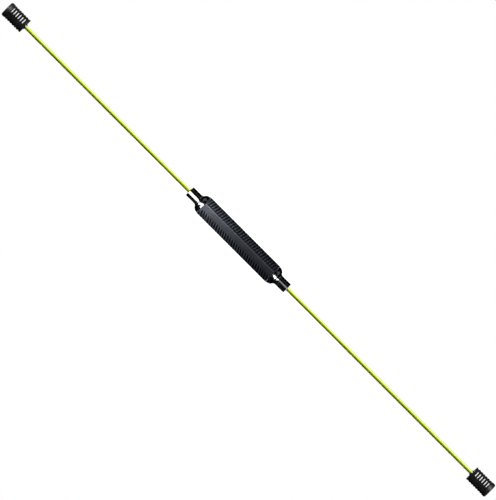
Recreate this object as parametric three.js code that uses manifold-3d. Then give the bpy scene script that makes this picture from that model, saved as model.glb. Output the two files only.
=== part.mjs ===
// A flexible swing bar for exercise. A moulded grip on a central tube holds two arms, and each arm is a
// fibreglass rod with a threaded ferrule at the grip and a ribbed weight at its far end.
// The bar lies along X, with the flat land under its grip on the plane z = 0. Sizes are in millimetres.

import * as THREE from 'three';
import { mergeVertices } from 'three/addons/utils/BufferGeometryUtils.js';
import Module from 'manifold-3d';

const wasm = await Module();
wasm.setup();

// Driving dimensions
const BAR_LENGTH = 1530;
const HANDLE_LENGTH = 308.5; // from the mouth of one collar to the mouth of the other
const HANDLE_OFFSET = -31.75; // middle of the handle, from the middle of the bar
const AXIS_HEIGHT = 23.06; // also the distance from the axis to the flat lands on the grip
const GAP = 0.3; // left between two pieces that touch

const ROD_RADIUS = 5;
const ROD_PIVOTS = 8; // places where each rod is cut so that it can bend
const PIVOT_GAP = 1.3; // room for the faces of two stretches to lean towards each other

const GRIP_RADIUS = 23.75;
const GRIP_EDGE = 1; // rounding at both ends
const TUBE_RADIUS = 17;
const TUBE_BORE_RADIUS = 15;

const NECK_RADIUS = 12.5;
const NECK_LENGTH = 26;
const NECK_EDGE = 1.4; // rounding at the mouth
const SHOULDER_MIDDLE = [-33.7, 18.5]; // where the shoulder is steepest, as [x, radius] from the mouth
const SHOULDER_RADIUS = 23;
const COLLAR_LENGTH = 45; // from the mouth to the face that meets the grip
const COLLAR_BORE_RADIUS = 7.3;
const SPIGOT_LENGTH = 20; // the part of the collar that is inside the tube

const FERRULE_RADIUS = 7;
const FERRULE_START = 4.6; // depth of the ferrule's open end inside the mouth
const FERRULE_END = 34.4;
const SOCKET_DEPTH = 24;
const STUD_RADIUS = 5.9; // M12 thread, drawn plain
const STUD_LENGTH = 19;
const STUD_CHAMFER = 1;
const INSERT_RADIUS = 9.3;
const INSERT_LENGTH = 20;
const SEAL_DEPTH = 1; // depth of the seal's outer face inside the mouth

const WEIGHT_LENGTH = 58;
const CAP_RADIUS = 18.65;
const CAP_BAND = 10.5;
const CAP_EDGE = 3.6;
const PLUG_RADIUS = 13.4;
const PLUG_LENGTH = 6;
const RIB_COUNT = 6;
const RIB_RADIUS = 18.3;
const RIB_PITCH = 6.85;
const RIB_FIRST = 14.1; // middle of the first rib, from the outer end
const RIB_CREST = 3;
const RIB_BASE = 5.4;
const GROOVE_RADIUS = 17.2;
const LIP_RADIUS = 18.5;
const LIP_LENGTH = 5;
const LIP_EDGE = 1;
const HUB_RADIUS = 6.6;
const HUB_LENGTH = 2.5;
const DISH_DEPTH = 1;
const DISH_RADIUS = 14.5;
const INNER_WALL = 6; // thickness of rubber between the core and the rod's side of the weight
const CORE_RADIUS = 11;
const ROD_INTO_WEIGHT = 33.7; // how far the rod goes in past the weight's inner face

// Facets around each kind of round piece
const FACETS_GRIP = 36;
const FACETS_OUTSIDE = 24;
const FACETS_INSIDE = 16;

const GRIP_HALF_LENGTH = HANDLE_LENGTH / 2 - COLLAR_LENGTH - GAP;

const blackRubber = new THREE.MeshStandardMaterial({ color: 0x24242a, roughness: 0.75 });
const glossBlack = new THREE.MeshStandardMaterial({ color: 0x101013, roughness: 0.18 });
const weightRubber = new THREE.MeshStandardMaterial({ color: 0x141416, roughness: 0.3 });
const dullBlack = new THREE.MeshStandardMaterial({ color: 0x1b1b1e, roughness: 0.5 });
const limeFibreglass = new THREE.MeshStandardMaterial({ color: 0xb9d61c, roughness: 0.3 });
const aluminium = new THREE.MeshStandardMaterial({ color: 0xb8babd, roughness: 0.4, metalness: 1 });
const steel = new THREE.MeshStandardMaterial({ color: 0x8d9094, roughness: 0.35, metalness: 1 });
const brass = new THREE.MeshStandardMaterial({ color: 0xb5933f, roughness: 0.35, metalness: 1 });

// Turns a profile of [x, radius] points about the X axis. Outer walls run towards +x.
function turned(profile, facets) {
  const points = profile.map(([x, radius]) => new THREE.Vector2(radius, x));
  const geometry = new THREE.LatheGeometry(points, facets);
  geometry.rotateZ(-Math.PI / 2);
  return geometry;
}

// The same for a hollow piece, whose profile closes on itself.
function turnedHollow(profile, facets) {
  return turned([...profile, profile[0]], facets);
}

function piece(name, geometry, material) {
  const mesh = new THREE.Mesh(geometry, material);
  mesh.name = name;
  return mesh;
}

function curvePoints(corners, steps) {
  const [a, b, c, d] = corners.map(([x, radius]) => new THREE.Vector2(x, radius));
  return new THREE.CubicBezierCurve(a, b, c, d).getPoints(steps).map((p) => [p.x, p.y]);
}

// A quarter circle between two walls, from angle 0, on the outer wall, to a quarter turn, on the end face.
function roundedEdge(x, radius, edge, steps) {
  const points = [];
  for (let i = 0; i <= steps; i += 1) {
    const angle = (i / steps) * (Math.PI / 2);
    points.push([x - edge + edge * Math.sin(angle), radius - edge + edge * Math.cos(angle)]);
  }
  return points;
}

function toManifold(geometry) {
  const bare = geometry.clone();
  bare.deleteAttribute('normal');
  bare.deleteAttribute('uv');
  const merged = mergeVertices(bare, 1e-4);
  return new wasm.Manifold(new wasm.Mesh({
    numProp: 3,
    vertProperties: new Float32Array(merged.attributes.position.array),
    triVerts: new Uint32Array(merged.index.array),
  }));
}

function fromManifold(solid) {
  const mesh = solid.getMesh();
  const geometry = new THREE.BufferGeometry();
  geometry.setAttribute('position', new THREE.BufferAttribute(mesh.vertProperties, 3));
  geometry.setIndex(new THREE.BufferAttribute(mesh.triVerts, 1));
  return geometry;
}

// The grip: a thick rubber sleeve with rounded ends and a flat land along its top and its underside.
function gripSleeve() {
  const half = GRIP_HALF_LENGTH;
  const rightEdge = roundedEdge(half, GRIP_RADIUS, GRIP_EDGE, 3);
  const leftEdge = rightEdge.map(([x, radius]) => [-x, radius]).reverse();
  const bore = TUBE_RADIUS + GAP;
  const round = toManifold(turnedHollow([[-half, bore], ...leftEdge, ...rightEdge, [half, bore]], FACETS_GRIP));
  const cutDepth = GRIP_RADIUS;
  const cutter = new THREE.BoxGeometry(2 * half + GRIP_RADIUS, 3 * GRIP_RADIUS, cutDepth);
  const above = toManifold(cutter.clone().translate(0, 0, AXIS_HEIGHT + cutDepth / 2));
  const below = toManifold(cutter.clone().translate(0, 0, -AXIS_HEIGHT - cutDepth / 2));
  return piece('grip_sleeve', fromManifold(round.subtract(above).subtract(below)), blackRubber);
}

function handleTube() {
  const profile = [
    [-GRIP_HALF_LENGTH, TUBE_BORE_RADIUS],
    [-GRIP_HALF_LENGTH, TUBE_RADIUS],
    [GRIP_HALF_LENGTH, TUBE_RADIUS],
    [GRIP_HALF_LENGTH, TUBE_BORE_RADIUS],
  ];
  return piece('handle_tube', turnedHollow(profile, FACETS_OUTSIDE), aluminium);
}

// From here on, x is the distance outwards from a collar's mouth, and is negative inside the handle.

// A hard neck that plugs into the tube. Its bore guides the ferrule and a pocket behind holds the insert.
function collar(side) {
  const spigotEnd = -COLLAR_LENGTH - SPIGOT_LENGTH;
  const spigotRadius = TUBE_BORE_RADIUS - GAP;
  const pocketRadius = INSERT_RADIUS + GAP;
  const [middle, middleRadius] = SHOULDER_MIDDLE;
  const swell = curvePoints([
    [-COLLAR_LENGTH, SHOULDER_RADIUS],
    [middle - 6.3, SHOULDER_RADIUS - 0.6],
    [middle - 2.2, middleRadius + 2.8],
    [middle, middleRadius],
  ], 5);
  const fillet = curvePoints([
    [middle, middleRadius],
    [middle + 1.9, middleRadius - 2.5],
    [-NECK_LENGTH - 4.2, NECK_RADIUS],
    [-NECK_LENGTH, NECK_RADIUS],
  ], 5);
  const profile = [
    [spigotEnd, pocketRadius],
    [spigotEnd, spigotRadius],
    [-COLLAR_LENGTH, spigotRadius],
    ...swell,
    ...fillet.slice(1),
    ...roundedEdge(0, NECK_RADIUS, NECK_EDGE, 3),
    [0, COLLAR_BORE_RADIUS],
    [-FERRULE_END, COLLAR_BORE_RADIUS],
    [-FERRULE_END, pocketRadius],
  ];
  return piece(`${side}_collar`, turnedHollow(profile, FACETS_OUTSIDE), glossBlack);
}

function threadedInsert(side) {
  const front = -FERRULE_END - GAP;
  const profile = [
    [front - INSERT_LENGTH, STUD_RADIUS + GAP],
    [front - INSERT_LENGTH, INSERT_RADIUS],
    [front, INSERT_RADIUS],
    [front, STUD_RADIUS + GAP],
  ];
  return piece(`${side}_threaded_insert`, turnedHollow(profile, FACETS_INSIDE), brass);
}

function rodSeal(side) {
  const inner = ROD_RADIUS + GAP;
  const outer = COLLAR_BORE_RADIUS - GAP;
  const back = -FERRULE_START + GAP;
  const edge = 0.5;
  const profile = [
    [back, inner],
    [back, outer],
    [-SEAL_DEPTH - edge, outer],
    [-SEAL_DEPTH, outer - edge],
    [-SEAL_DEPTH, inner],
  ];
  return piece(`${side}_rod_seal`, turnedHollow(profile, FACETS_INSIDE), blackRubber);
}

// The ferrule is a cup that the rod is glued into, with a threaded stud on its closed end.
function ferrule(side) {
  const studEnd = -FERRULE_END - STUD_LENGTH;
  const socket = ROD_RADIUS + GAP;
  const profile = [
    [studEnd, 0],
    [studEnd, STUD_RADIUS - STUD_CHAMFER],
    [studEnd + STUD_CHAMFER, STUD_RADIUS],
    [-FERRULE_END, STUD_RADIUS],
    [-FERRULE_END, FERRULE_RADIUS],
    [-FERRULE_START, FERRULE_RADIUS],
    [-FERRULE_START, socket],
    [-FERRULE_START - SOCKET_DEPTH, socket],
    [-FERRULE_START - SOCKET_DEPTH, 0],
  ];
  return piece(`${side}_ferrule`, turned(profile, FACETS_INSIDE), steel);
}

function rodStretch(name, from, to) {
  const profile = [[from, 0], [from, ROD_RADIUS], [to, ROD_RADIUS], [to, 0]];
  return piece(name, turned(profile, FACETS_INSIDE), limeFibreglass);
}

// The rod is one elastic piece. It is cut at evenly spaced pivots, so that it can bend there.
function rod(side, armLength) {
  const weightFace = armLength - WEIGHT_LENGTH;
  const pivots = Array.from({ length: ROD_PIVOTS }, (_, i) => ((i + 0.5) * weightFace) / ROD_PIVOTS);
  const starts = [-FERRULE_START - SOCKET_DEPTH + GAP, ...pivots.map((x) => x + PIVOT_GAP / 2)];
  const ends = [...pivots.map((x) => x - PIVOT_GAP / 2), weightFace + ROD_INTO_WEIGHT];
  return starts.map((from, i) => {
    const last = i === ROD_PIVOTS ? 'tip' : `segment_${i}`;
    return rodStretch(`${side}_rod_${i === 0 ? 'root' : last}`, from, ends[i]);
  });
}

function weightCore(side, armLength) {
  const inner = armLength - WEIGHT_LENGTH + INNER_WALL + GAP;
  const outer = armLength - CAP_BAND - PLUG_LENGTH - GAP;
  const bore = ROD_RADIUS + GAP;
  const boreEnd = armLength - WEIGHT_LENGTH + ROD_INTO_WEIGHT + GAP;
  const profile = [
    [boreEnd, 0],
    [boreEnd, bore],
    [inner, bore],
    [inner, CORE_RADIUS],
    [outer, CORE_RADIUS],
    [outer, 0],
  ];
  return piece(`${side}_weight_core`, turned(profile, FACETS_INSIDE), steel);
}

// A ribbed jacket, open at its outer end, where the core goes in and the end cap plugs it.
function weightSleeve(side, armLength) {
  const inner = armLength - WEIGHT_LENGTH;
  const outer = armLength - CAP_BAND - GAP;
  const bore = ROD_RADIUS + GAP;
  const pocket = CORE_RADIUS + GAP;
  const counterbore = PLUG_RADIUS + GAP;
  const plugEnd = armLength - CAP_BAND - PLUG_LENGTH - GAP;
  const ribs = [];
  for (let i = RIB_COUNT - 1; i >= 0; i -= 1) {
    const middle = armLength - RIB_FIRST - i * RIB_PITCH;
    ribs.push(
      [middle - RIB_BASE / 2, GROOVE_RADIUS],
      [middle - RIB_CREST / 2, RIB_RADIUS],
      [middle + RIB_CREST / 2, RIB_RADIUS],
      [middle + RIB_BASE / 2, GROOVE_RADIUS],
    );
  }
  const profile = [
    [inner - HUB_LENGTH, bore],
    [inner - HUB_LENGTH, HUB_RADIUS],
    [inner + DISH_DEPTH, HUB_RADIUS],
    [inner, DISH_RADIUS],
    [inner, LIP_RADIUS - LIP_EDGE],
    [inner + LIP_EDGE, LIP_RADIUS],
    [inner + LIP_LENGTH, LIP_RADIUS],
    [inner + LIP_LENGTH, GROOVE_RADIUS],
    ...ribs,
    [outer, GROOVE_RADIUS],
    [outer, counterbore],
    [plugEnd, counterbore],
    [plugEnd, pocket],
    [inner + INNER_WALL, pocket],
    [inner + INNER_WALL, bore],
  ];
  return piece(`${side}_weight_sleeve`, turnedHollow(profile, FACETS_OUTSIDE), weightRubber);
}

function endCap(side, armLength) {
  const bandStart = armLength - CAP_BAND;
  const profile = [
    [bandStart - PLUG_LENGTH, 0],
    [bandStart - PLUG_LENGTH, PLUG_RADIUS],
    [bandStart, PLUG_RADIUS],
    [bandStart, CAP_RADIUS],
    ...roundedEdge(armLength, CAP_RADIUS, CAP_EDGE, 4),
    [armLength, 0],
  ];
  return piece(`${side}_end_cap`, turned(profile, FACETS_OUTSIDE), dullBlack);
}

function arm(side, armLength) {
  const group = new THREE.Group();
  group.add(collar(side), threadedInsert(side), rodSeal(side), ferrule(side));
  group.add(...rod(side, armLength));
  group.add(weightCore(side, armLength), weightSleeve(side, armLength), endCap(side, armLength));
  return group;
}

const handle = new THREE.Group();
handle.add(gripSleeve(), handleTube());
handle.position.x = HANDLE_OFFSET;

const rightMouth = HANDLE_OFFSET + HANDLE_LENGTH / 2;
const rightArm = arm('right', BAR_LENGTH / 2 - rightMouth);
rightArm.position.x = rightMouth;

const leftMouth = HANDLE_OFFSET - HANDLE_LENGTH / 2;
const leftArm = arm('left', BAR_LENGTH / 2 + leftMouth);
leftArm.position.x = leftMouth;
leftArm.rotation.z = Math.PI;

const bar = new THREE.Group();
bar.add(handle, rightArm, leftArm);
bar.position.z = AXIS_HEIGHT;

export default bar;
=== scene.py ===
"""A flexible swing bar for exercise: a ribbed grip, two lime fibreglass rods and a weight on each end.

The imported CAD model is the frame. Every visible piece is built here as a fine mesh at the place and size
that the frame gives, and rides on the body of the CAD node that it stands for. Sizes are in millimetres,
and MM turns them into Blender's metres. Each outline is a list of (x, radius) points, turned about the
bar's axis.
"""

import cmath
import math

import bpy
import numpy as np
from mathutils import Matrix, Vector


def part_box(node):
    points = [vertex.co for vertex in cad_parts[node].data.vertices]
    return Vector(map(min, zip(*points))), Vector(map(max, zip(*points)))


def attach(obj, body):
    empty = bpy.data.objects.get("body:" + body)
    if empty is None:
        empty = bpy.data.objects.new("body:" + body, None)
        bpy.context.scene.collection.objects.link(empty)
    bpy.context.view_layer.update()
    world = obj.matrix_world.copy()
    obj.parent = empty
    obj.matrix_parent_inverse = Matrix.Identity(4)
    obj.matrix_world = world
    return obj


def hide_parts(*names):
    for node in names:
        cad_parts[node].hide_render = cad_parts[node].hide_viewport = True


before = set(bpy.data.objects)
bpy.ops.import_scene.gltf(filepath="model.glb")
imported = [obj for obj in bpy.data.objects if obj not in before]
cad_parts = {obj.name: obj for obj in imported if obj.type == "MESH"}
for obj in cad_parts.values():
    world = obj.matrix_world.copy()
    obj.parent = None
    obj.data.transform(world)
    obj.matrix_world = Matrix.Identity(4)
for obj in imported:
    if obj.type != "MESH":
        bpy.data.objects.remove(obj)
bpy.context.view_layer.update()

MM = 0.001
FILLET_STEPS = 5
SUPPORT = 0.35  # distance of an extra ring from each end of a long straight wall
SMOOTH_BELOW = math.radians(38)  # edges that turn more than this are drawn sharp

# Grip sleeve. The CAD model leaves out its ribs, channels, lines and bead.
GRIP_PITCH = 6.85
GRIP_DEPTH = 2.3
GRIP_SIDE_DEPTH = 0.3  # shallower where the sleeve is widest, so that its outline is nearly smooth
GRIP_CREST = 1.15  # half the flat width of a rib
GRIP_FLANK = 2.1  # width of a rib's sloping side
GRIP_CROWN = 0.1  # how much a crest is rounded
GRIP_SLANTS = (0.2, 0.36)  # shift along the bar for each millimetre round the sleeve, on each side
BLOCK_PHASE = -2.5  # middle of a rib from the middle of the sleeve, on the side with blocks
RIB_PHASE = 2.35  # and on the side where the ribs slant
GRIP_PLAIN_END = 1.4  # width of the plain hoop at each end of the sleeve
GRIP_END_ROUNDING = 1.2
LAND_RADIUS = 23.3
LAND_LINE_DEPTH = 0.16
LAND_LINE_HALF_WIDTH = 0.15
LAND_LINE_FLANK = 0.35
BEAD_HEIGHT = 0.3
BEAD_HALF_WIDTH = 0.3
BEAD_FLANK = 0.5
BEAD_NOTCH = 0.6  # share of the bead's height that is lost between two ribs
CHANNEL_HALF_WIDTH = 0.4
CHANNEL_FLANK = 0.6
CHANNEL_DEPTH = 1.05
RIB_STEPS = (0, 0.7, GRIP_CREST, 1.6, 2.1, 2.6, 3)  # rings of points from the middle of each rib
RING_GAP = 0.1  # least distance from the last of them to the sleeve's rounded end

# Height of the land and its bead for the rubber's colour, which paints shade in the grooves and light on
# the crests and bead, where a groove is 0 and a crest is 1
LAND_SHADE = 0.9
BEAD_SHADE = 0.6  # added to the land's

# Angles in degrees from the top of the bar, positive towards +y
BLOCK_SIDE = (17, 163)
RIB_SIDE = (-156, -24)
CHANNELS = (20, 39, 62, 90, 118, 141, 160)  # thin channels that cut the ribs of one side into blocks
LAND_LINES = (-18, -11.5, -4, 4.5)  # fine lines along the land
BEAD_ANGLE = 12  # a raised bead along the land, notched between the ribs
TEXTURE_FADE = 2.5  # slope inside each edge of a textured side
SIDE_HALF_WIDTH = 14  # the ribs are at their shallowest this near the widest place
SIDE_FADE = 22  # and get deeper over this angle
ROW_STEP = 4  # between rows of points on plain rubber
ROW_GAP = 0.42  # least angle between two rows
EDGE_STEPS = (-0.5, 0, 0.7, 1.3, 1.9, 2.6)  # rows of points inwards from each edge of a textured side

# Handle tube and collars
TUBE_WALL = 2
NECK_RADIUS = 12.5
NECK_LENGTH = 26
NECK_ROUNDING = 0.9
COLLAR_LENGTH = 45
COLLAR_BORE = 7.3
SPIGOT_LENGTH = 20
SPIGOT_RADIUS = 14.7
SHOULDER_MIDDLE = (-33.7, 18.5)  # where the shoulder's full curve turns into its hollow one

# Ferrules and the inserts that they screw into
FERRULE_RADIUS = 7
FERRULE_START = 4.6
FERRULE_END = 34.4
SOCKET_DEPTH = 24
SOCKET_RADIUS = 5.3
STUD_LENGTH = 19
THREAD_RADIUS = 5.9
THREAD_PITCH = 1.75
THREAD_DEPTH = 0.95
THREAD_CLEARANCE = 0.3
THREAD_CREST = 1 / 16  # half the flat of a crest, as a share of the pitch
THREAD_ROOT = 3 / 8  # from the middle of a crest to the start of a root, as a share of the pitch
THREAD_STEPS = 14  # rings of points in each turn
INSERT_LENGTH = 20
INSERT_RADIUS = 9.3
KNURL_DEPTH = 0.25

# Rods
ROD_RADIUS = 5
ROD_PIVOTS = 8
ROD_STEP = 4  # between rings of points
ROD_BALL = 4.935  # radius of the ball at a pivot
ROD_CUP = 4.985  # and of the cup that it turns in
ROD_KERF = 0.9  # room for a cup's rim to lean over the stretch before it
BALL_STEPS = 10
ROD_INTO_WEIGHT = 33.7

# Weights and their caps
WEIGHT_LENGTH = 58
CAP_BAND = 10.5
CAP_ROUNDING = 3.6
PLUG_RADIUS = 13.4
PLUG_LENGTH = 6
RIB_COUNT = 6
RIB_RADIUS = 18.35
RIB_PITCH = 6.85
RIB_FIRST = 14.1
RIB_CREST = 2.3  # width of a rib's crest before its edges are rounded
RIB_BASE = 6.4
RIB_ROUNDING = 1.2
GROOVE_RADIUS = 17.1
GROOVE_BOTTOM = 17.0
LIP_LENGTH = 5
HUB_RADIUS = 6.6
HUB_LENGTH = 2.5
DISH_DEPTH = 1
DISH_RADIUS = 14.5
INNER_WALL = 6
CORE_RADIUS = 11

GAP = 0.3  # clearance between the pieces inside


# ---------------------------------------------------------------- frame

def middle_of(node):
    low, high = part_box(node)
    return (low + high) / 2


def radius_of(node):
    low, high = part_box(node)
    return (high.y - low.y) / 2 / MM


AXIS = middle_of("handle_tube")  # the middle of the handle, which is on the bar's axis


class Line:
    """The bar's axis, with x counted from start in the direction of sign."""

    def __init__(self, start, sign):
        self.start = start
        self.sign = sign

    def point(self, x, radius, angle):
        return (
            self.start + self.sign * x * MM,
            radius * MM * math.sin(angle),
            AXIS.z + radius * MM * math.cos(angle),
        )

    def on_axis(self, x):
        return Vector(self.point(x, 0, 0))


class Arm(Line):
    """One arm. Its x runs outwards from the collar's mouth."""

    def __init__(self, side, sign):
        self.side = side
        self.sign = sign
        super().__init__(self.outer_face("collar"), sign)
        self.length = abs(self.outer_face("end_cap") - self.start) / MM
        self.weight_face = self.length - WEIGHT_LENGTH

    def outer_face(self, node):
        low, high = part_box(self.named(node))
        return high.x if self.sign > 0 else low.x

    def named(self, piece):
        return f"{self.side}_{piece}"


# ---------------------------------------------------------------- meshes

def rounded(corners):
    """The outline with an arc at each corner that has a third number, its radius."""
    points = [complex(c[0], c[1]) for c in corners]
    outline = []
    for i, corner in enumerate(corners):
        point = points[i]
        if len(corner) == 2:
            outline.append(corner)
            continue
        before = points[i - 1] - point
        after = points[(i + 1) % len(points)] - point
        before /= abs(before)
        after /= abs(after)
        half = abs(cmath.phase(after / before)) / 2
        centre = point + (before + after) / abs(before + after) * corner[2] / math.sin(half)
        start = point + before * corner[2] / math.tan(half) - centre
        end = point + after * corner[2] / math.tan(half) - centre
        turn = cmath.phase(end / start)
        for step in range(FILLET_STEPS + 1):
            on_arc = centre + start * cmath.exp(1j * turn * step / FILLET_STEPS)
            outline.append((on_arc.real, on_arc.imag))
    return outline


def is_solid(outline):
    """Whether the outline runs from the axis to the axis, and not round a hole."""
    return np.all(np.asarray(outline[0][1]) == 0)


def supported(outline):
    """The outline with a point near both ends of each long wall, which keeps its shading flat."""
    following = outline[1:] if is_solid(outline) else outline[1:] + outline[:1]
    result = []
    for here, there in zip(outline, following):
        result.append(here)
        length = math.dist(here, there)
        if length > 4 * SUPPORT:
            for share in (SUPPORT / length, 1 - SUPPORT / length):
                result.append(tuple(a + (b - a) * share for a, b in zip(here, there)))
    return result + outline[-1:] if is_solid(outline) else result


def bezier(a, b, c, d, steps):
    """Points of a cubic curve, both ends included."""
    return [
        tuple(
            p * (1 - t) ** 3 + 3 * q * t * (1 - t) ** 2 + 3 * r * t * t * (1 - t) + s * t**3
            for p, q, r, s in zip(a, b, c, d)
        )
        for t in (i / steps for i in range(steps + 1))
    ]


def signed_volume(points, faces):
    """Six times the volume in a mesh of triangles and quads. Below 0 if its faces look inwards."""
    quads = np.array([(*face, face[-1])[:4] for face in faces])
    a, b, c, d = (points[quads[:, k]] for k in range(4))
    return np.sum(a * (np.cross(b, c) + np.cross(c, d)))


def make_piece(name, points, faces, material):
    """A closed mesh. Its points keep their place at rest in millimetres, for the textures."""
    points = np.asarray(points)
    if signed_volume(points, faces) < 0:
        faces = [tuple(reversed(face)) for face in faces]
    mesh = bpy.data.meshes.new(name)
    mesh.from_pydata(points.tolist(), [], faces)
    mesh.polygons.foreach_set("use_smooth", [True] * len(mesh.polygons))
    mesh.set_sharp_from_angle(angle=SMOOTH_BELOW)
    rest = mesh.attributes.new("rest", "FLOAT_VECTOR", "POINT")
    rest.data.foreach_set("vector", ((points - np.array(AXIS)) / MM).ravel())
    mesh.materials.append(material)
    mesh.update()
    piece = bpy.data.objects.new(name, mesh)
    bpy.context.scene.collection.objects.link(piece)
    return piece


def turned(name, outline, line, segments, material):
    """Turns an outline about the axis. A radius may also be a list, one for each segment."""
    points = []
    rings = []
    for x, radius in outline:
        radii = np.broadcast_to(radius, segments)
        start = len(points)
        if np.all(radii == 0):
            points.append(line.point(x, 0, 0))
            rings.append([start] * segments)
            continue
        points.extend(line.point(x, radii[k], 2 * math.pi * k / segments) for k in range(segments))
        rings.append(list(range(start, start + segments)))
    if not is_solid(outline):
        rings.append(rings[0])
    faces = []
    for here, there in zip(rings, rings[1:]):
        for k in range(segments):
            after = (k + 1) % segments
            corners = (here[k], here[after], there[after], there[k])
            faces.append(tuple(dict.fromkeys(corners)))
    return make_piece(name, points, faces, material)


def smoothstep(value):
    value = np.clip(value, 0, 1)
    return value * value * (3 - 2 * value)


# ---------------------------------------------------------------- materials

class Finish:
    """A material round one Principled shader, with short calls that add its textures."""

    def __init__(self, name, **values):
        self.material = bpy.data.materials.new(name)
        self.material.use_nodes = True
        self.tree = self.material.node_tree
        self.shader = self.tree.nodes["Principled BSDF"]
        for socket, value in values.items():
            self.shader.inputs[socket.replace("_", " ")].default_value = value
        self.place = self.node("ShaderNodeAttribute", attribute_name="rest").outputs["Vector"]
        self.bumps = None

    def node(self, kind, **settings):
        node = self.tree.nodes.new(kind)
        for key, value in settings.items():
            setattr(node, key, value)
        return node

    def feed(self, socket, value):
        if isinstance(value, bpy.types.NodeSocket):
            self.tree.links.new(value, socket)
        else:
            socket.default_value = value

    def attribute(self, name):
        return self.node("ShaderNodeAttribute", attribute_name=name).outputs["Fac"]

    def texture(self, kind, per_mm):
        """A texture with that many features a millimetre: one number, or one for each direction."""
        scale = self.node("ShaderNodeVectorMath", operation="MULTIPLY")
        self.feed(scale.inputs[0], self.place)
        scale.inputs[1].default_value = per_mm if hasattr(per_mm, "__len__") else (per_mm,) * 3
        texture = self.node(kind)
        self.feed(texture.inputs["Vector"], scale.outputs[0])
        texture.inputs["Scale"].default_value = 1.0
        return texture

    def noise(self, per_mm, detail=3.0, roughness=0.55, distortion=0.0):
        texture = self.texture("ShaderNodeTexNoise", per_mm)
        texture.inputs["Detail"].default_value = detail
        texture.inputs["Roughness"].default_value = roughness
        texture.inputs["Distortion"].default_value = distortion
        return texture.outputs["Fac"]

    def grains(self, per_mm):
        """Round cells, dark in the middle and light where they meet."""
        return self.texture("ShaderNodeTexVoronoi", per_mm).outputs["Distance"]

    def ramp(self, value, low, high, to_low=0.0, to_high=1.0):
        """to_low where the value is low or less, to_high where it is high or more."""
        node = self.node("ShaderNodeMapRange")
        for socket, number in zip(node.inputs[:5], (value, low, high, to_low, to_high)):
            self.feed(socket, number)
        return node.outputs[0]

    def combine(self, a, b, operation="ADD"):
        node = self.node("ShaderNodeMath", operation=operation)
        self.feed(node.inputs[0], a)
        self.feed(node.inputs[1], b)
        return node.outputs[0]

    def mix(self, share, a, b):
        """Colour a where share is 0 and colour b where it is 1."""
        node = self.node("ShaderNodeMix", data_type="RGBA")
        for socket, value in zip((node.inputs[0], node.inputs[6], node.inputs[7]), (share, a, b)):
            self.feed(socket, value)
        return node.outputs[2]

    def colour(self, value):
        self.feed(self.shader.inputs["Base Color"], value)

    def roughness(self, value):
        self.feed(self.shader.inputs["Roughness"], value)

    def bump(self, height, depth_mm):
        """Adds relief of that depth, in millimetres, on top of any relief added before."""
        node = self.node("ShaderNodeBump")
        node.inputs["Strength"].default_value = 1.0
        node.inputs["Distance"].default_value = depth_mm * MM
        self.feed(node.inputs["Height"], height)
        if self.bumps is not None:
            self.feed(node.inputs["Normal"], self.bumps)
        self.bumps = node.outputs["Normal"]
        self.feed(self.shader.inputs["Normal"], self.bumps)


def grey(value, tint=(1.0, 1.0, 1.0)):
    return (value * tint[0], value * tint[1], value * tint[2], 1.0)


def grip_rubber():
    """Matt moulded rubber, lighter and a little more polished on the crests than in the grooves. The
    lighter crests and bead are painted light, the near-black grooves painted shade.
    """
    finish = Finish("moulded_grip_rubber", Specular_IOR_Level=0.3)
    relief = finish.attribute("relief")
    textured = finish.attribute("textured")
    cloudy = finish.noise(0.06, detail=5)
    grain = finish.noise(1.6, detail=4, roughness=0.7)
    pores = finish.grains(1.1)
    worn = finish.combine(relief, finish.ramp(cloudy, 0.35, 0.65), "MULTIPLY")
    blue = (0.92, 0.96, 1.12)
    # Near black in the grooves: painted shade in the recesses between the ribs.
    groove = finish.mix(finish.ramp(grain, 0.35, 0.7), grey(0.001, blue), grey(0.002, blue))
    smooth = finish.mix(worn, grey(0.008, blue), grey(0.013, blue))
    # Much lighter crests on the ribbed sides: painted light for the lit crests, varied at random by the
    # cloudy noise.
    painted_light_crest = finish.mix(worn, grey(0.026, blue), grey(0.042, blue))
    crest = finish.mix(textured, smooth, painted_light_crest)
    # Dark grooves and light crests, chosen by the height of the relief: painted shade and painted light.
    ribbed = finish.mix(finish.ramp(relief, 0.82, 0.99), groove, crest)
    # The bead's light grey is a painted highlight along it.
    bead = grey(0.07, (0.9, 0.96, 1.15))
    finish.colour(finish.mix(finish.ramp(relief, 1.05, 1.3), ribbed, bead))
    land_roughness = finish.ramp(relief, 0.45, 1.45, 0.9, 0.36)
    moulded = finish.ramp(textured, 0, 1, land_roughness, 0.46)
    polished = finish.combine(moulded, finish.ramp(worn, 0, 1, 0.0, 0.08), "SUBTRACT")
    finish.roughness(finish.combine(polished, finish.ramp(grain, 0.3, 0.7, -0.04, 0.06)))
    finish.bump(grain, 0.03)
    finish.bump(pores, 0.03)
    return finish.material


def collar_plastic():
    """Glossy injection-moulded plastic with a faint orange peel, smudges and fine scuffs."""
    finish = Finish("glossy_collar_plastic", Specular_IOR_Level=0.55)
    smudge = finish.noise(0.09, detail=4, distortion=0.6)
    peel = finish.noise(0.55, detail=2)
    scuff = finish.noise((0.25, 5.0, 5.0), detail=2, roughness=0.7)
    smudged = grey(0.009, (0.95, 0.97, 1.1))
    finish.colour(finish.mix(finish.ramp(smudge, 0.3, 0.7), grey(0.004), smudged))
    gloss = finish.ramp(smudge, 0.3, 0.75, 0.1, 0.2)
    finish.roughness(finish.combine(gloss, finish.ramp(scuff, 0.6, 0.8, 0.0, 0.14)))
    finish.bump(peel, 0.006)
    finish.bump(scuff, 0.002)
    return finish.material


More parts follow.
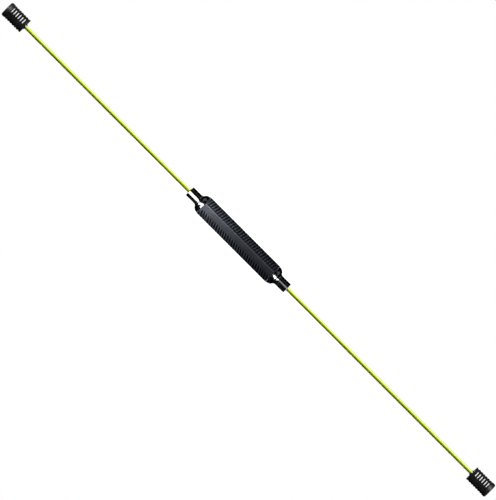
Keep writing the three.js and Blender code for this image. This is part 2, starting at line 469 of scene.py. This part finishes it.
def weight_rubber():
    """Shiny moulded rubber, with flow lines round the ring and a little bloom."""
    finish = Finish("glossy_weight_rubber", Specular_IOR_Level=0.5)
    bloom = finish.noise(0.12, detail=5, distortion=0.4)
    flow = finish.noise((3.0, 0.15, 0.15), detail=3)
    grain = finish.noise(1.4, detail=3)
    bloomed = grey(0.013, (0.97, 0.98, 1.08))
    finish.colour(finish.mix(finish.ramp(bloom, 0.35, 0.7), grey(0.005), bloomed))
    gloss = finish.ramp(bloom, 0.3, 0.75, 0.1, 0.18)
    finish.roughness(finish.combine(gloss, finish.ramp(grain, 0.4, 0.75, 0.0, 0.08)))
    finish.bump(flow, 0.004)
    finish.bump(grain, 0.008)
    return finish.material


def cap_plastic():
    """Satin moulded plastic with an even spark-eroded grain."""
    finish = Finish("satin_cap_plastic", Specular_IOR_Level=0.5)
    spark = finish.noise(2.6, detail=3, roughness=0.7)
    cloudy = finish.noise(0.1, detail=4)
    dusty = grey(0.011, (0.97, 0.98, 1.06))
    finish.colour(finish.mix(finish.ramp(cloudy, 0.3, 0.7), grey(0.005), dusty))
    finish.roughness(finish.ramp(cloudy, 0.3, 0.7, 0.4, 0.52))
    finish.bump(spark, 0.035)
    return finish.material


def seal_rubber():
    finish = Finish("matt_seal_rubber", Specular_IOR_Level=0.4)
    grain = finish.noise(2.0, detail=3)
    finish.colour(finish.mix(finish.ramp(grain, 0.3, 0.7), grey(0.008), grey(0.018)))
    finish.roughness(finish.ramp(grain, 0.3, 0.7, 0.55, 0.75))
    finish.bump(grain, 0.03)
    return finish.material


def rod_fibreglass():
    """Lime pultruded fibreglass: straight fibres under a clear, slightly wavy skin."""
    finish = Finish("lime_fibreglass", Specular_IOR_Level=0.45, Coat_Weight=0.35, Coat_Roughness=0.16)
    fibre = finish.noise((0.012, 1.5, 1.5), detail=5, roughness=0.65)
    roving = finish.noise((0.004, 0.5, 0.5), detail=2)
    cloudy = finish.noise(0.015, detail=2)
    lime = finish.mix(finish.ramp(fibre, 0.35, 0.68), (0.50, 0.68, 0.012, 1.0), (0.68, 0.84, 0.055, 1.0))
    deep = finish.mix(finish.ramp(roving, 0.4, 0.65, 0.0, 0.35), lime, (0.40, 0.58, 0.008, 1.0))
    finish.colour(finish.mix(finish.ramp(cloudy, 0.35, 0.65, 0.0, 0.16), deep, (0.66, 0.80, 0.03, 1.0)))
    finish.roughness(finish.ramp(fibre, 0.3, 0.7, 0.3, 0.46))
    finish.bump(fibre, 0.03)
    return finish.material


def turned_metal(name, dark, light, roughness, marks_per_mm):
    """Bare metal with fine tool marks that run along the bar or round it."""
    finish = Finish(name, Metallic=1.0)
    marks = finish.noise(marks_per_mm, detail=3, roughness=0.7)
    stain = finish.noise(0.12, detail=4)
    tone = finish.combine(finish.ramp(marks, 0.3, 0.7, 0.0, 0.5), finish.ramp(stain, 0.3, 0.7, 0.0, 0.5))
    finish.colour(finish.mix(tone, dark, light))
    finish.roughness(finish.ramp(stain, 0.3, 0.7, roughness - 0.07, roughness + 0.09))
    finish.bump(marks, 0.012)
    return finish.material


ALONG = (0.03, 3.0, 3.0)  # tool marks a millimetre in x, y and z
AROUND = (4.0, 0.05, 0.05)

RUBBER = grip_rubber()
GLOSS = collar_plastic()
WEIGHT = weight_rubber()
SATIN = cap_plastic()
SEAL = seal_rubber()
LIME = rod_fibreglass()
ALUMINIUM = turned_metal(
    "extruded_aluminium", (0.52, 0.53, 0.55, 1.0), (0.74, 0.75, 0.77, 1.0), 0.36, ALONG
)
BRASS = turned_metal("turned_brass", (0.42, 0.29, 0.10, 1.0), (0.68, 0.52, 0.22, 1.0), 0.3, AROUND)
STEEL = turned_metal("plated_steel", (0.36, 0.37, 0.38, 1.0), (0.62, 0.63, 0.65, 1.0), 0.28, AROUND)
DARK_STEEL = turned_metal("mill_steel", (0.16, 0.16, 0.17, 1.0), (0.34, 0.34, 0.35, 1.0), 0.45, AROUND)


# ---------------------------------------------------------------- handle

GRIP_RADIUS = radius_of("grip_sleeve")
LAND_HEIGHT = (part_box("grip_sleeve")[1].z - AXIS.z) / MM
GRIP_HALF = (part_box("grip_sleeve")[1].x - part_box("grip_sleeve")[0].x) / 2 / MM
BORE_RADIUS = radius_of("handle_tube") + GAP


def inside(angle, span):
    """1 between two angles and 0 outside them, with a slope inside each edge."""
    low, high = span
    return smoothstep((angle - low) / TEXTURE_FADE) * smoothstep((high - angle) / TEXTURE_FADE)


def ridge(offset, half_width, flank):
    """1 within half_width of offset 0, falling to 0 over flank."""
    return smoothstep((half_width + flank - np.abs(offset)) / flank)


def slant(angle):
    """How far the ribs have moved along the bar at an angle."""
    shift = 0
    for (low, high), slope in zip((BLOCK_SIDE, RIB_SIDE), GRIP_SLANTS):
        from_edge = np.minimum(high - angle, angle - low)
        shift = shift + np.clip(from_edge, 0, None) * math.radians(1) * GRIP_RADIUS * slope
    return shift


def row_shift(angle):
    """How far the rows of points follow the ribs along the bar, from one side's ribs to the other's."""
    corners = (BLOCK_SIDE[1] - 360, *RIB_SIDE, *BLOCK_SIDE, RIB_SIDE[0] + 360)
    phases = (BLOCK_PHASE, RIB_PHASE, RIB_PHASE, BLOCK_PHASE, BLOCK_PHASE, RIB_PHASE)
    return slant(angle) + np.interp(angle, corners, phases)


def rib_offset(x, phase):
    """Distance from the middle of the nearest rib."""
    return ((x - phase) / GRIP_PITCH + 0.5) % 1 * GRIP_PITCH - GRIP_PITCH / 2


def rib_rows(x, phase):
    """1 on the crests of ribs that run straight across, and 0 in the grooves between them."""
    return ridge(rib_offset(x, phase), GRIP_CREST, GRIP_FLANK)


def grip_relief(x, angle):
    """Height of the moulded pattern at x along the sleeve: 0 in a groove and 1 on a crest."""
    phase = np.where(angle > 0, BLOCK_PHASE, RIB_PHASE)
    offset = rib_offset(x - slant(angle), phase)
    ribs = ridge(offset, GRIP_CREST, GRIP_FLANK)
    degree = math.radians(1) * GRIP_RADIUS
    channels = sum(ridge((angle - c) * degree, CHANNEL_HALF_WIDTH, CHANNEL_FLANK) for c in CHANNELS)
    blocks = ribs * (1 - channels * CHANNEL_DEPTH / GRIP_DEPTH)
    crown = 1 - GRIP_CROWN / GRIP_DEPTH * np.clip(np.abs(offset) / GRIP_CREST, 0, 1) ** 2
    plain = np.minimum(1, 1 - smoothstep((GRIP_HALF - GRIP_PLAIN_END - np.abs(x)) / GRIP_FLANK))
    pattern = np.where(angle > 0, blocks, ribs) * crown
    return np.maximum(pattern, plain)


def grip_surface(x, angle):
    """The sleeve's radius, its shade for the material's painted shade and light, and 1 where it has ribs.
    Angles are from -180 to 180.
    """
    relief = grip_relief(x, angle)
    textured = inside(angle, BLOCK_SIDE) + inside(angle, RIB_SIDE)
    degree = math.radians(1) * GRIP_RADIUS
    from_land = np.where(np.abs(angle) > 90, np.sign(angle) * 180 - angle, angle)
    lines = sum(
        ridge((from_land - a) * degree, LAND_LINE_HALF_WIDTH, LAND_LINE_FLANK) for a in LAND_LINES
    )
    notched = 1 - BEAD_NOTCH + BEAD_NOTCH * rib_rows(x, BLOCK_PHASE)
    bead = ridge((from_land - BEAD_ANGLE) * degree, BEAD_HALF_WIDTH, BEAD_FLANK) * notched
    land = LAND_RADIUS - LAND_LINE_DEPTH * lines * (1 - textured) + BEAD_HEIGHT * bead
    at_side = ridge(np.abs(angle) - 90, SIDE_HALF_WIDTH, SIDE_FADE)
    depth = GRIP_DEPTH - (GRIP_DEPTH - GRIP_SIDE_DEPTH) * at_side
    pattern = GRIP_RADIUS - depth * (1 - relief)
    radius = land + (pattern - land) * textured
    # A flat along the top and one underneath. The least cosine keeps it off the sides.
    flat = LAND_HEIGHT / np.maximum(np.abs(np.cos(np.radians(angle))), 0.1)
    from_end = np.clip(GRIP_END_ROUNDING - (GRIP_HALF - np.abs(x)), 0, GRIP_END_ROUNDING)
    edge = GRIP_END_ROUNDING - np.sqrt(GRIP_END_ROUNDING**2 - from_end**2)
    # Painted shade: the full relief darkens the grooves in colour, also at the sides where the ribs are
    # shallow.
    shade = relief * textured + (LAND_SHADE + BEAD_SHADE * bead) * (1 - textured)
    return np.minimum(radius, flat) - edge, shade, textured


def grip_stations():
    """Places along the sleeve for rings of points, close together where a rib's side is steep."""
    in_pitch = sorted({side * step for step in RIB_STEPS for side in (-1, 1)} | {GRIP_PITCH / 2})
    count = math.ceil(GRIP_HALF / GRIP_PITCH)
    ribbed = [i * GRIP_PITCH + step for i in range(-count, count + 1) for step in in_pitch]
    limit = GRIP_HALF - GRIP_END_ROUNDING
    middle = [x for x in ribbed if abs(x) < limit - RING_GAP]
    turns = [i * math.pi / 2 / FILLET_STEPS for i in range(FILLET_STEPS + 1)]
    end = [limit + GRIP_END_ROUNDING * math.sin(turn) for turn in turns]
    return [-x for x in reversed(end)] + middle + end


def grip_angles():
    """Angles round the sleeve for rows of points, close together at each channel and line."""
    degree = math.radians(1) * GRIP_RADIUS
    lines = [*LAND_LINES, *(math.copysign(180, a) - a for a in LAND_LINES)]
    # Places in degrees, and the rows beside each of them in millimetres round the sleeve
    close = (
        (CHANNELS, (0.3, 0.45, 0.65, 0.85, 1.0)),
        (lines, (0.1, 0.3, 0.5)),
        ((BEAD_ANGLE, 180 - BEAD_ANGLE), (0.2, 0.5, 0.8)),
    )
    marks = [ROW_STEP * i for i in range(360 // ROW_STEP)]
    for places, offsets in close:
        both_ways = [side * offset / degree for offset in offsets for side in (-1, 1)]
        marks += [place + step for place in places for step in both_ways]
    for low, high in (BLOCK_SIDE, RIB_SIDE):
        marks += [low + step for step in EDGE_STEPS] + [high - step for step in EDGE_STEPS]
    marks = sorted((a + 180) % 360 - 180 for a in marks)
    kept = [marks[0]]
    for angle in marks[1:]:
        if angle - kept[-1] > ROW_GAP:
            kept.append(angle)
    return np.array(kept)


def ring_faces(rings, across):
    """Quads between rings of points. The last ring is joined to the first."""
    return [
        (
            i * across + k,
            i * across + (k + 1) % across,
            (i + 1) % rings * across + (k + 1) % across,
            (i + 1) % rings * across + k,
        )
        for i in range(rings)
        for k in range(across)
    ]


def grip_sleeve():
    """The rubber sleeve: rows of points along the bar, and rings round it that lean with the ribs."""
    line = Line(AXIS.x, 1)
    angles = grip_angles()
    stations = np.array(grip_stations())
    fade = smoothstep((GRIP_HALF - GRIP_END_ROUNDING - np.abs(stations)) / (2 * GRIP_PITCH))
    x = stations[:, None] + row_shift(angles)[None, :] * fade[:, None]
    radius, shade, textured = grip_surface(x, np.broadcast_to(angles, x.shape))
    turn = np.radians(angles)
    across_y = radius * MM * np.sin(turn)
    up_z = AXIS.z + radius * MM * np.cos(turn)
    outer = np.stack([line.start + x * MM, across_y, up_z], -1)
    inner = [
        [line.point(end, BORE_RADIUS, a) for a in turn]
        for end in (GRIP_HALF, GRIP_HALF - 1, 1 - GRIP_HALF, -GRIP_HALF)
    ]
    points = np.concatenate([outer.reshape(-1, 3), np.reshape(inner, (-1, 3))])
    faces = ring_faces(len(stations) + len(inner), len(angles))
    piece = make_piece("ribbed_grip_sleeve", points, faces, RUBBER)
    bore = np.zeros(len(angles) * len(inner))
    # The relief attribute carries the shade that paints the grooves dark and the crests and bead light.
    for name, values in (("relief", shade), ("textured", textured)):
        attribute = piece.data.attributes.new(name, "FLOAT", "POINT")
        attribute.data.foreach_set("value", np.concatenate([values.ravel(), bore]))
    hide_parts("grip_sleeve")
    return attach(piece, "handle")


def handle_tube():
    low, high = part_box("handle_tube")
    half = (high.x - low.x) / 2 / MM
    outer = radius_of("handle_tube")
    inner = outer - TUBE_WALL
    outline = rounded([(-half, inner, 0.3), (-half, outer, 0.5), (half, outer, 0.5), (half, inner, 0.3)])
    piece = turned("centre_tube", supported(outline), Line(AXIS.x, 1), 96, ALUMINIUM)
    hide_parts("handle_tube")
    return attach(piece, "handle")


def collar(arm):
    """A neck with a swelling shoulder, and a spigot that goes into the handle tube."""
    middle, middle_radius = SHOULDER_MIDDLE
    top = radius_of(arm.named("collar"))
    pocket = INSERT_RADIUS + GAP
    spigot_end = -COLLAR_LENGTH - SPIGOT_LENGTH
    swell = bezier(
        (-COLLAR_LENGTH + 0.3, top),
        (middle - 6.3, top - 0.6),
        (middle - 2.2, middle_radius + 2.8),
        (middle, middle_radius),
        18,
    )
    fillet = bezier(
        (middle, middle_radius),
        (middle + 1.9, middle_radius - 2.5),
        (-NECK_LENGTH - 4.2, NECK_RADIUS),
        (-NECK_LENGTH, NECK_RADIUS),
        18,
    )
    outline = rounded([
        (spigot_end, pocket, 0.4),
        (spigot_end, SPIGOT_RADIUS, 0.8),
        (-COLLAR_LENGTH, SPIGOT_RADIUS),
        (-COLLAR_LENGTH, top - 0.3),
        *swell,
        *fillet[1:],
        (0, NECK_RADIUS, NECK_ROUNDING),
        (0, COLLAR_BORE, 0.6),
        (-FERRULE_END, COLLAR_BORE),
        (-FERRULE_END, pocket),
    ])
    piece = turned(arm.named("neck_collar"), supported(outline), arm, 128, GLOSS)
    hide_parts(arm.named("collar"))
    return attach(piece, "handle")


def thread_radii(arm, x, segments, extra=0.0):
    """Radius of a right-hand 60 degree thread at x, for each segment round it."""
    turns = np.arange(segments) / segments
    place = (x / THREAD_PITCH + arm.sign * turns) % 1
    from_crest = np.minimum(place, 1 - place)
    height = np.clip((THREAD_ROOT - from_crest) / (THREAD_ROOT - THREAD_CREST), 0, 1)
    return THREAD_RADIUS + extra - THREAD_DEPTH * (1 - height)


def thread(arm, start, end, segments, extra=0.0):
    """The part of an outline that is threaded, from start to end."""
    count = round(abs(end - start) / THREAD_PITCH * THREAD_STEPS)
    stations = [start + (end - start) * i / count for i in range(count + 1)]
    return [(x, thread_radii(arm, x, segments, extra)) for x in stations]


def threaded_insert(arm):
    """A brass bush with a knurled middle, held by the plastic round it."""
    segments = 64
    front = -FERRULE_END - GAP
    back = front - INSERT_LENGTH
    knurl = INSERT_RADIUS - KNURL_DEPTH + KNURL_DEPTH * np.cos(np.arange(segments) * math.pi)
    outline = [
        (back, INSERT_RADIUS - 0.8),
        (back + 0.6, INSERT_RADIUS - 0.4),
        (back + 3, INSERT_RADIUS - 0.4),
        (back + 3.3, knurl),
        (front - 3.3, knurl),
        (front - 3, INSERT_RADIUS - 0.4),
        (front - 0.6, INSERT_RADIUS - 0.4),
        (front, INSERT_RADIUS - 0.8),
        *thread(arm, front, back, segments, THREAD_CLEARANCE),
    ]
    piece = turned(arm.named("threaded_bush"), outline, arm, segments, BRASS)
    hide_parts(arm.named("threaded_insert"))
    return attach(piece, "handle")


# ---------------------------------------------------------------- arms

def rod_seal(arm):
    """A wiper ring: thick at the back, with a rounded lip that closes on the rod."""
    back = -FERRULE_START + GAP
    outer = COLLAR_BORE - GAP
    lip = ROD_RADIUS + 0.15
    outline = rounded([
        (back, lip + 0.5, 0.2),
        (back, outer, 0.3),
        (-1.3, outer, 0.4),
        (-1, outer - 0.9, 0.3),
        (-1.7, lip + 0.6, 0.3),
        (-1, lip + 0.25, 0.15),
        (-1.3, lip, 0.15),
        (-2.2, lip + 0.3, 0.3),
    ])
    piece = turned(arm.named("wiper_seal"), outline, arm, 64, SEAL)
    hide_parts(arm.named("rod_seal"))
    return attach(piece, arm.named("seal"))


def ferrule(arm):
    """A steel cup for the rod's end, with a wrench groove and a threaded stud."""
    segments = 64
    stud_end = -FERRULE_END - STUD_LENGTH
    chamfer = 1.1
    point_radius = THREAD_RADIUS - chamfer
    stud = [
        (x, np.minimum(radii, point_radius + (x - stud_end)))
        for x, radii in thread(arm, stud_end, -FERRULE_END - 1.2, segments)
    ]
    neck = THREAD_RADIUS - THREAD_DEPTH
    cup = rounded([
        (-FERRULE_END - 1, neck),
        (-FERRULE_END, neck, 0.3),
        (-FERRULE_END, FERRULE_RADIUS, 0.6),
        (-FERRULE_END + 4, FERRULE_RADIUS, 0.2),
        (-FERRULE_END + 4.5, FERRULE_RADIUS - 0.5, 0.2),
        (-FERRULE_END + 6.5, FERRULE_RADIUS - 0.5, 0.2),
        (-FERRULE_END + 7, FERRULE_RADIUS, 0.2),
        (-FERRULE_START, FERRULE_RADIUS, 0.5),
        (-FERRULE_START, SOCKET_RADIUS, 0.3),
        (-FERRULE_START - SOCKET_DEPTH, SOCKET_RADIUS, 0.5),
        (-FERRULE_START - SOCKET_DEPTH, 0),
    ])
    outline = [(stud_end, 0), *stud, *cup]
    piece = turned(arm.named("threaded_ferrule"), outline, arm, segments, STEEL)
    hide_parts(arm.named("ferrule"))
    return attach(piece, arm.named("rod_base"))


def rod_stretches(arm):
    """The rod in straight lengths. A ball on the outer end of each turns in a cup in the next."""
    reach = arm.weight_face / ROD_PIVOTS
    kerf = math.asin(ROD_KERF / ROD_BALL)  # the ball goes on past its widest place, to the wall
    turns = [-kerf, *(math.pi / 2 * i / BALL_STEPS for i in range(BALL_STEPS + 1))]
    made = []
    for i in range(ROD_PIVOTS + 1):
        first = i == 0
        last = i == ROD_PIVOTS
        start = -FERRULE_START - SOCKET_DEPTH + GAP if first else (i - 0.5) * reach
        end = arm.weight_face + ROD_INTO_WEIGHT if last else (i + 0.5) * reach
        wall_end = end if last else end - ROD_KERF
        count = round((wall_end - start) / ROD_STEP)
        walls = [(start + (wall_end - start) * k / count, ROD_RADIUS) for k in range(count + 1)]
        cup = [(start + ROD_CUP * math.cos(t), ROD_CUP * math.sin(t)) for t in turns[2:]]
        ball = [(end + ROD_BALL * math.sin(t), ROD_BALL * math.cos(t)) for t in turns[:-1]]
        head = [(start, 0)] if first else [(start + ROD_CUP, 0), *cup]
        tail = [(end, 0)] if last else [*ball, (end + ROD_BALL, 0)]
        outline = [*head, *walls, *tail]
        piece = turned(arm.named(f"rod_stretch_{i}"), outline, arm, 48, LIME)
        node = "rod_root" if first else "rod_tip" if last else f"rod_segment_{i}"
        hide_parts(arm.named(node))
        made.append(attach(piece, arm.named("rod_base" if first else f"bend_{i}")))
    return made


def weight_core(arm):
    """The steel ring inside a weight, with a socket for the rod's outer end."""
    low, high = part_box(arm.named("weight_core"))
    inner = arm.weight_face + INNER_WALL + GAP
    outer = inner + (high.x - low.x) / MM
    bore = ROD_RADIUS + GAP
    bore_end = arm.weight_face + ROD_INTO_WEIGHT + GAP
    outline = rounded([
        (bore_end, 0),
        (bore_end, bore, 0.4),
        (inner, bore, 0.5),
        (inner, CORE_RADIUS, 0.8),
        (outer, CORE_RADIUS, 0.8),
        (outer, 0),
    ])
    piece = turned(arm.named("steel_weight"), supported(outline), arm, 96, DARK_STEEL)
    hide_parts(arm.named("weight_core"))
    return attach(piece, arm.named(f"bend_{ROD_PIVOTS}"))


def weight_sleeve(arm):
    """The ribbed rubber jacket, with a lip and a hub towards the rod and a pocket for the cap's plug."""
    lip = radius_of(arm.named("weight_sleeve"))
    inner = arm.weight_face
    outer = arm.length - CAP_BAND - GAP
    bore = ROD_RADIUS + GAP
    pocket = CORE_RADIUS + GAP
    counterbore = PLUG_RADIUS + GAP
    plug_end = outer - PLUG_LENGTH
    middles = [arm.length - RIB_FIRST - i * RIB_PITCH for i in reversed(range(RIB_COUNT))]
    ribs = []
    for middle in middles:
        ribs += [
            (middle - RIB_PITCH / 2, GROOVE_BOTTOM),
            (middle - RIB_BASE / 2, GROOVE_RADIUS),
            (middle - RIB_CREST / 2, RIB_RADIUS, RIB_ROUNDING),
            (middle + RIB_CREST / 2, RIB_RADIUS, RIB_ROUNDING),
            (middle + RIB_BASE / 2, GROOVE_RADIUS),
        ]
    outline = rounded([
        (inner - HUB_LENGTH, bore, 0.3),
        (inner - HUB_LENGTH, HUB_RADIUS, 0.5),
        (inner + DISH_DEPTH, HUB_RADIUS, 0.6),
        (inner, DISH_RADIUS, 1.5),
        (inner, lip, 0.8),
        (inner + 1, lip, 2),
        (inner + LIP_LENGTH + 0.6, GROOVE_RADIUS + 0.1, 0.5),
        *ribs,
        (outer, GROOVE_BOTTOM),
        (outer, counterbore),
        (plug_end, counterbore),
        (plug_end, pocket),
        (inner + INNER_WALL, pocket, 0.5),
        (inner + INNER_WALL, bore),
    ])
    name = arm.named("ribbed_weight_jacket")
    piece = turned(name, supported(outline), arm, 128, WEIGHT)
    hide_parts(arm.named("weight_sleeve"))
    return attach(piece, arm.named(f"bend_{ROD_PIVOTS}"))


def end_cap(arm):
    """The outer band of a weight, closed at its face, with a plug that goes into the jacket."""
    radius = radius_of(arm.named("end_cap"))
    band_start = arm.length - CAP_BAND
    outline = rounded([
        (band_start - PLUG_LENGTH, 0),
        (band_start - PLUG_LENGTH, PLUG_RADIUS, 0.6),
        (band_start, PLUG_RADIUS, 0.3),
        (band_start, radius, 0.6),
        (arm.length, radius, CAP_ROUNDING),
        (arm.length, 0),
    ])
    piece = turned(arm.named("weight_cap"), supported(outline), arm, 128, SATIN)
    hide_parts(arm.named("end_cap"))
    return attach(piece, arm.named(f"bend_{ROD_PIVOTS}"))


# ---------------------------------------------------------------- stage

# Lengths in metres
CAMERA_HEIGHT = 24.0  # far away, so that there is next to no perspective
CAMERA_LENS = 771.8  # focal length in millimetres
CAMERA_TURN = math.radians(45)  # the bar lies on the picture's diagonal
CAMERA_ASIDE = (-0.0003, -0.00095)  # from straight above the origin
FLOOR_RADIUS = 0.33
FAR = 2.5  # distance of the lights that reach the whole bar
WIDE = (2.5, 1.0)  # and their size

BACKGROUND = 1.0
AMBIENT = 0.006
COOL = (0.92, 0.95, 1.0)
BLUE = (0.82, 0.88, 1.0)


def add_camera():
    data = bpy.data.cameras.new("camera")
    data.lens = CAMERA_LENS
    data.sensor_width = 36
    data.clip_end = 60
    camera = bpy.data.objects.new("camera", data)
    camera.location = (*CAMERA_ASIDE, AXIS.z + CAMERA_HEIGHT)
    camera.rotation_euler = (0, 0, CAMERA_TURN)
    bpy.context.scene.collection.objects.link(camera)
    bpy.context.scene.camera = camera


def add_world():
    """White behind everything, and a dim grey as light, so that the black pieces stay black."""
    bpy.context.scene.view_settings.view_transform = "Standard"
    world = bpy.data.worlds.new("studio")
    world.use_nodes = True
    bpy.context.scene.world = world
    nodes = world.node_tree.nodes
    links = world.node_tree.links
    nodes.clear()
    seen = nodes.new("ShaderNodeBackground")
    seen.inputs["Strength"].default_value = BACKGROUND
    seen.inputs["Color"].default_value = (1, 1, 1, 1)
    lit = nodes.new("ShaderNodeBackground")
    lit.inputs["Color"].default_value = (0.93, 0.96, 1.0, 1)
    lit.inputs["Strength"].default_value = AMBIENT
    path = nodes.new("ShaderNodeLightPath")
    mix = nodes.new("ShaderNodeMixShader")
    output = nodes.new("ShaderNodeOutputWorld")
    links.new(path.outputs["Is Camera Ray"], mix.inputs[0])
    links.new(lit.outputs[0], mix.inputs[1])
    links.new(seen.outputs[0], mix.inputs[2])
    links.new(mix.outputs[0], output.inputs["Surface"])


def add_floor():
    """A pale round table top under the handle, clear of the arms when they bend down."""
    segments = 96
    turns = [2 * math.pi * k / segments for k in range(segments)]
    ring = [(AXIS.x + FLOOR_RADIUS * math.cos(t), FLOOR_RADIUS * math.sin(t), 0) for t in turns]
    mesh = bpy.data.meshes.new("pale_floor")
    mesh.from_pydata(ring, [], [tuple(range(segments))])
    floor = bpy.data.objects.new("pale_floor", mesh)
    bpy.context.scene.collection.objects.link(floor)
    material = bpy.data.materials.new("pale_floor")
    material.use_nodes = True
    shader = material.node_tree.nodes["Principled BSDF"]
    shader.inputs["Base Color"].default_value = (0.9, 0.9, 0.9, 1)
    shader.inputs["Roughness"].default_value = 0.9
    shader.inputs["Specular IOR Level"].default_value = 0.1
    shader.inputs["Emission Color"].default_value = (1, 1, 1, 1)
    shader.inputs["Emission Strength"].default_value = 0.55
    mesh.materials.append(material)
    floor.visible_diffuse = False
    floor.visible_glossy = False
    floor.visible_shadow = False
    return floor


def link_light(lamp, receivers):
    """Lets a light reach only these objects."""
    group = bpy.data.collections.new(f"lit_by_{lamp.name}")
    for receiver in receivers:
        group.objects.link(receiver)
    lamp.light_linking.receiver_collection = group


def softbox(name, target, direction, distance, size, power, receivers, tint=(1, 1, 1), gloss_only=False):
    """A rectangular light for some pieces. With gloss_only they show just its reflection."""
    data = bpy.data.lights.new(name, "AREA")
    data.shape = "RECTANGLE"
    data.size, data.size_y = size
    data.energy = power
    data.color = tint
    lamp = bpy.data.objects.new(name, data)
    towards = Vector(direction).normalized()
    lamp.location = Vector(target) + towards * distance
    lamp.rotation_mode = "QUATERNION"
    lamp.rotation_quaternion = towards.to_track_quat("Z", "Y")
    lamp.visible_camera = False
    lamp.visible_diffuse = not gloss_only
    bpy.context.scene.collection.objects.link(lamp)
    link_light(lamp, receivers)
    return lamp


def leaning(degrees, outwards=0.0):
    """A direction that leans from the vertical towards +y, and outwards along x."""
    angle = math.radians(degrees)
    return (outwards, math.sin(angle), math.cos(angle))


def light_weight(arm, jacket, cap):
    middle = arm.on_axis(arm.length - WEIGHT_LENGTH / 2)
    face = arm.on_axis(arm.length)
    cap_edge = (0.8 * arm.sign, 0.35, 0.5)
    softbox(arm.named("weight_softbox"), middle, leaning(41), 1.0, (0.28, 1.5), 33, jacket)
    softbox(arm.named("cap_softbox"), face, leaning(37), 1.0, (0.22, 0.6), 8, [cap])
    softbox(arm.named("cap_edge_light"), face, cap_edge, 0.8, (0.3, 0.3), 6, [cap])


def light_grip(left_neck, sleeve):
    """A light close to the grip's left end fades along it. The others are even."""
    softbox("grip_softbox", left_neck, leaning(-5), 0.16, (0.1, 0.19), 0.98, [sleeve], BLUE)
    softbox("grip_top_light", AXIS, leaning(-2), 1.5, (1.0, 0.4), 10, [sleeve], BLUE)
    softbox("grip_key", AXIS, leaning(62), FAR, WIDE, 20, [sleeve], BLUE)
    softbox("grip_fill", AXIS, leaning(-62), FAR, WIDE, 3.2, [sleeve], BLUE)


def light_collars(arms, necks, collars):
    """Reflections along the necks, bright on the left one and dim on the right, and on the shoulders."""
    left_neck, right_neck = necks
    softbox("neck_softbox", left_neck, leaning(-20), 0.4, (0.36, 0.42), 16, collars, COOL, True)
    softbox("dim_softbox", right_neck, leaning(2, 0.1), 0.4, (0.2, 0.12), 0.45, collars, COOL, True)
    for arm, neck, towards in zip(arms, necks, ((-0.83, -0.25, 0.5), (0.83, -0.1, 0.56))):
        glow = (0.65 * arm.sign, 0.69, 0.25)
        softbox(arm.named("shoulder_light"), neck, towards, 0.6, (0.22, 0.87), 26, collars, COOL, True)
        softbox(arm.named("shoulder_glow"), neck, glow, 1.0, (0.7, 0.7), 2.2, collars, COOL, True)


def build():
    add_camera()
    add_world()
    floor = add_floor()
    sleeve = grip_sleeve()
    handle_tube()
    collars = []
    rods = []
    weights = []
    arms = (Arm("left", -1), Arm("right", 1))
    for arm in arms:
        collars += [collar(arm), threaded_insert(arm), rod_seal(arm), ferrule(arm)]
        rods += rod_stretches(arm)
        jacket = [weight_core(arm), weight_sleeve(arm)]
        cap = end_cap(arm)
        light_weight(arm, jacket, cap)
        weights += [*jacket, cap]
    necks = [arm.on_axis(-NECK_LENGTH) for arm in arms]
    light_grip(necks[0], sleeve)
    light_collars(arms, necks, collars)
    softbox("rod_key", AXIS, leaning(64), FAR, (2.5, 1.2), 122, rods)
    softbox("rod_bounce", AXIS, leaning(-128), FAR, WIDE, 50, rods)
    softbox("floor_light", AXIS, leaning(0.1), 2.0, (1.5, 1.5), 60, [floor])
    softbox("side_fill", AXIS, leaning(-80), FAR, WIDE, 1.4, collars + weights)
    softbox("side_key", AXIS, leaning(62), FAR, WIDE, 3, collars + weights)


build()
